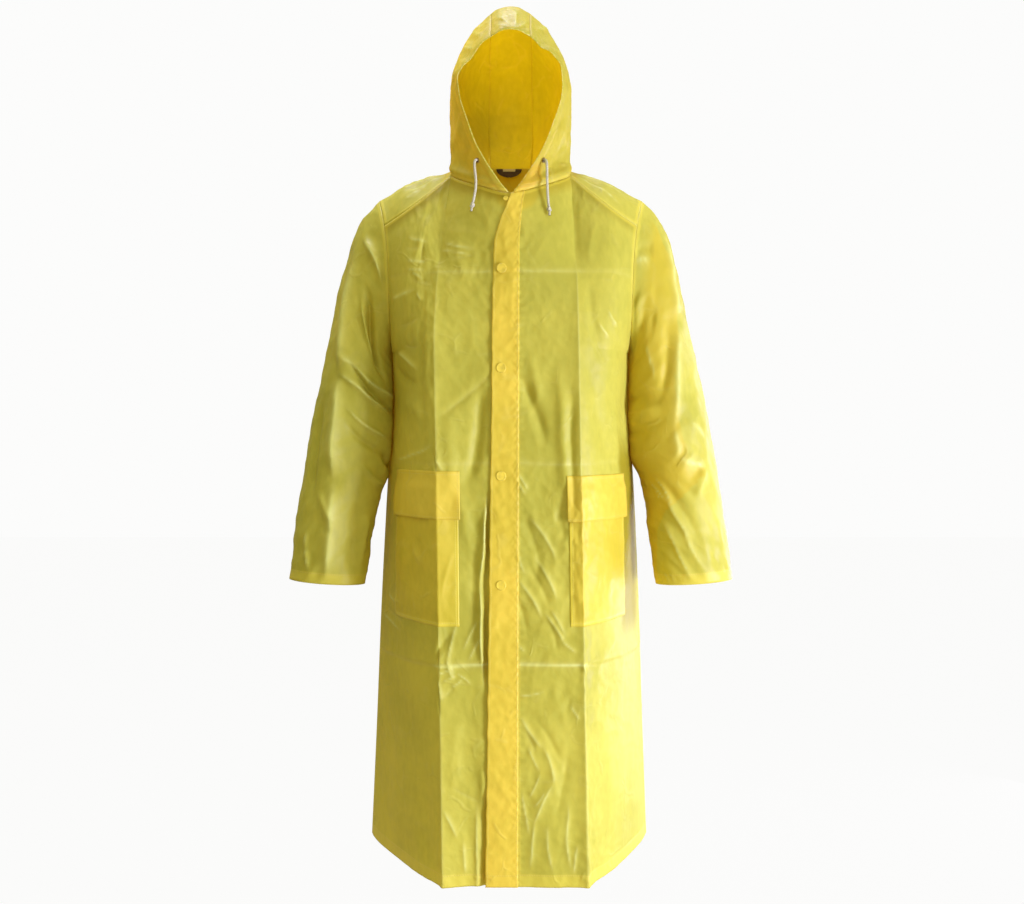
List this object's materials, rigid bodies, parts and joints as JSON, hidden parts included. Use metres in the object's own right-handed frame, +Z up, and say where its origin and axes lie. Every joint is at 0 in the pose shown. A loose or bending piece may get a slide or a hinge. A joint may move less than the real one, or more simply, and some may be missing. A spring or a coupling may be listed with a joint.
{
  "type": "hooded raincoat",
  "caption": "Long raincoat of translucent film, filled out as worn, with a hood, a snap placket, patch pockets with flaps and set-in sleeves, open at neck, cuffs and hem.",
  "frame": {"origin": "base of the neck, midway between the shoulders, where the wearer holds the coat up", "axes": "+Z up along the coat, -Y out of its front, +X to the wearer's left"},
  "size_m": [0.8132, 0.4101, 1.5652],
  "materials": {
    "film": "soft translucent film, one layer, satin gloss with packing creases",
    "film_double": "the same film folded double, denser and more golden",
    "snap_cap": "moulded round cap",
    "eyelet": "pressed ring, dull",
    "cord": "braided ivory cord",
    "label": "woven, plain, no text"
  },
  "bodies": {
    "root": {"front_left": "film", "front_right": "film", "back": "film", "yoke": "film", "sleeve_left": "film", "sleeve_right": "film", "hood_left": "film", "hood_right": "film", "hood_centre": "film", "pocket_left": "film", "pocket_right": "film", "placket": "film_double", "pocket_flap_left": "film_double", "pocket_flap_right": "film_double", "snap_1": "snap_cap", "snap_2": "snap_cap", "snap_3": "snap_cap", "snap_4": "snap_cap", "snap_neck": "snap_cap", "eyelet_left": "eyelet", "eyelet_right": "eyelet", "drawstring_left": "cord", "drawstring_right": "cord", "drawstring_knot_left": "cord", "drawstring_knot_right": "cord", "neck_label": "label"}
  },
  "joints": []
}
